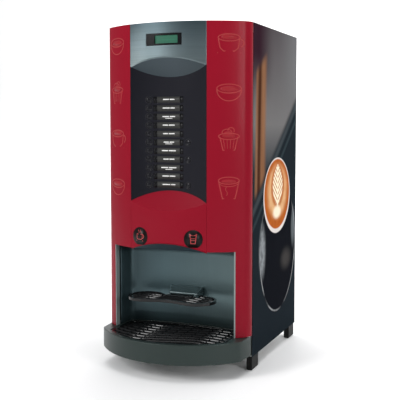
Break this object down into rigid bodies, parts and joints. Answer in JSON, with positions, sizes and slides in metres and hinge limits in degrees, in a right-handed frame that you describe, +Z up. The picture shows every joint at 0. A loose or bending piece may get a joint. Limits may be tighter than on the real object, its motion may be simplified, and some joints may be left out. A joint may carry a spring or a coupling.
{
  "type": "hot drinks vending machine",
  "caption": "Table-top hot drinks vending machine with a bowed hinged door, hollow selection panel, lit display, open cup niche, folding cup stand and pull-out drip tray.",
  "frame": {"origin": "middle of the overall footprint, on the surface that the feet stand on", "axes": "+Z up, +Y towards the back, +X to the machine's right as seen from the front"},
  "size_m": [0.41, 0.568, 0.903],
  "materials": {
    "red_cover": "gloss",
    "cabinet_black": "gloss",
    "zinc_sheet": "satin",
    "feet_black": "matte",
    "screws": "polished",
    "slate_liner": "satin",
    "powder_plastic": "satin",
    "white_plastic": "satin",
    "motor_metal": "satin",
    "hose": "satin",
    "brass_fittings": "satin",
    "black_plastic": "gloss",
    "frame_grey": "satin",
    "brushed_fascia": "brushed",
    "lens": "gloss",
    "panel_gloss": "gloss",
    "labels": "satin",
    "circuit_board": "satin",
    "tray_slate": "satin",
    "grille_black": "gloss",
    "button_black": "gloss"
  },
  "bodies": {
    "cabinet": {"left_side_panel": "cabinet_black", "right_side_panel": "cabinet_black", "top_cover": "cabinet_black", "base_pan": "zinc_sheet", "feet": "feet_black", "front_frame": "zinc_sheet", "hinge_brackets": "zinc_sheet", "rear_panel": "cabinet_black", "panel_screws": "screws", "niche_liner": "slate_liner", "bulkhead": "zinc_sheet", "shelf_bracket": "slate_liner", "canister_1": "powder_plastic", "canister_2": "powder_plastic", "canister_3": "powder_plastic", "canister_lids": "white_plastic", "mixing_bowl_1": "white_plastic", "mixing_bowl_2": "white_plastic", "drive_motors": "motor_metal", "spout_block": "black_plastic", "drink_hoses": "hose", "boiler": "motor_metal", "water_valves": "brass_fittings", "water_inlet": "brass_fittings", "power_inlet": "black_plastic"},
    "door": {"door_frame": "frame_grey", "left_column_cover": "red_cover", "right_column_cover": "red_cover", "display_fascia": "brushed_fascia", "display_module": "black_plastic", "upper_lens": "lens", "selection_panel": "panel_gloss", "centre_panel": "red_cover", "niche_hood": "slate_liner", "label_strips": "labels", "niche_badges": "black_plastic", "control_board": "circuit_board"},
    "door_lock": {"door_lock": "screws"},
    "cup_shelf": {"cup_shelf": "grille_black"},
    "drip_tray": {"drip_tray": "tray_slate"},
    "drip_grille": {"drip_grille": "grille_black"},
    "auger_1": {"auger_1": "white_plastic"},
    "auger_2": {"auger_2": "white_plastic"},
    "auger_3": {"auger_3": "white_plastic"},
    "whipper_1": {"whipper_1": "white_plastic"},
    "whipper_2": {"whipper_2": "white_plastic"},
    "left_button_01": {"left_button_01": "button_black"},
    "left_button_02": {"left_button_02": "button_black"},
    "left_button_03": {"left_button_03": "button_black"},
    "left_button_04": {"left_button_04": "button_black"},
    "left_button_05": {"left_button_05": "button_black"},
    "left_button_06": {"left_button_06": "button_black"},
    "left_button_07": {"left_button_07": "button_black"},
    "left_button_08": {"left_button_08": "button_black"},
    "left_button_09": {"left_button_09": "button_black"},
    "left_button_10": {"left_button_10": "button_black"},
    "left_button_11": {"left_button_11": "button_black"},
    "right_button_06": {"right_button_06": "button_black"},
    "right_button_08": {"right_button_08": "button_black"},
    "right_button_11": {"right_button_11": "button_black"}
  },
  "joints": [
    {"name": "door_swing", "type": "hinge", "parent": "cabinet", "child": "door", "pos_m": [0.196, -0.128, 0.488], "axis": [0, 0, 1], "range_deg": [0, 110]},
    {"name": "lock_turn", "type": "hinge", "parent": "door", "child": "door_lock", "pos_m": [-0.2, -0.131, 0.538], "axis": [-1, 0, 0], "range_deg": [0, 50]},
    {"name": "cup_shelf_fold", "type": "hinge", "parent": "cabinet", "child": "cup_shelf", "pos_m": [0, -0.111, 0.181], "axis": [-1, 0, 0], "range_deg": [0, 85]},
    {"name": "drip_tray_slide", "type": "slide", "parent": "cabinet", "child": "drip_tray", "axis": [0, -1, 0], "range_m": [0, 0.22]},
    {"name": "drip_grille_lift", "type": "slide", "parent": "drip_tray", "child": "drip_grille", "axis": [0, 0, 1], "range_m": [0, 0.03]},
    {"name": "auger_1_turn", "type": "hinge", "parent": "cabinet", "child": "auger_1", "pos_m": [-0.122, -0.016, 0.582], "axis": [0, 1, 0], "continuous": true},
    {"name": "auger_2_turn", "type": "hinge", "parent": "cabinet", "child": "auger_2", "pos_m": [0, -0.016, 0.582], "axis": [0, 1, 0], "continuous": true},
    {"name": "auger_3_turn", "type": "hinge", "parent": "cabinet", "child": "auger_3", "pos_m": [0.122, -0.016, 0.582], "axis": [0, 1, 0], "continuous": true},
    {"name": "whipper_1_spin", "type": "hinge", "parent": "cabinet", "child": "whipper_1", "pos_m": [-0.075, -0.021, 0.383], "axis": [0, 1, 0], "continuous": true},
    {"name": "whipper_2_spin", "type": "hinge", "parent": "cabinet", "child": "whipper_2", "pos_m": [0.075, -0.021, 0.383], "axis": [0, 1, 0], "continuous": true},
    {"name": "left_button_01_press", "type": "slide", "parent": "door", "child": "left_button_01", "axis": [0, 1, 0], "range_m": [0, 0.001], "stiffness_N_per_m": 400},
    {"name": "left_button_02_press", "type": "slide", "parent": "door", "child": "left_button_02", "axis": [0, 1, 0], "range_m": [0, 0.001], "stiffness_N_per_m": 400},
    {"name": "left_button_03_press", "type": "slide", "parent": "door", "child": "left_button_03", "axis": [0, 1, 0], "range_m": [0, 0.001], "stiffness_N_per_m": 400},
    {"name": "left_button_04_press", "type": "slide", "parent": "door", "child": "left_button_04", "axis": [0, 1, 0], "range_m": [0, 0.001], "stiffness_N_per_m": 400},
    {"name": "left_button_05_press", "type": "slide", "parent": "door", "child": "left_button_05", "axis": [0, 1, 0], "range_m": [0, 0.001], "stiffness_N_per_m": 400},
    {"name": "left_button_06_press", "type": "slide", "parent": "door", "child": "left_button_06", "axis": [0, 1, 0], "range_m": [0, 0.001], "stiffness_N_per_m": 400},
    {"name": "left_button_07_press", "type": "slide", "parent": "door", "child": "left_button_07", "axis": [0, 1, 0], "range_m": [0, 0.001], "stiffness_N_per_m": 400},
    {"name": "left_button_08_press", "type": "slide", "parent": "door", "child": "left_button_08", "axis": [0, 1, 0], "range_m": [0, 0.001], "stiffness_N_per_m": 400},
    {"name": "left_button_09_press", "type": "slide", "parent": "door", "child": "left_button_09", "axis": [0, 1, 0], "range_m": [0, 0.001], "stiffness_N_per_m": 400},
    {"name": "left_button_10_press", "type": "slide", "parent": "door", "child": "left_button_10", "axis": [0, 1, 0], "range_m": [0, 0.001], "stiffness_N_per_m": 400},
    {"name": "left_button_11_press", "type": "slide", "parent": "door", "child": "left_button_11", "axis": [0, 1, 0], "range_m": [0, 0.001], "stiffness_N_per_m": 400},
    {"name": "right_button_06_press", "type": "slide", "parent": "door", "child": "right_button_06", "axis": [0, 1, 0], "range_m": [0, 0.001], "stiffness_N_per_m": 400},
    {"name": "right_button_08_press", "type": "slide", "parent": "door", "child": "right_button_08", "axis": [0, 1, 0], "range_m": [0, 0.001], "stiffness_N_per_m": 400},
    {"name": "right_button_11_press", "type": "slide", "parent": "door", "child": "right_button_11", "axis": [0, 1, 0], "range_m": [0, 0.001], "stiffness_N_per_m": 400}
  ]
}
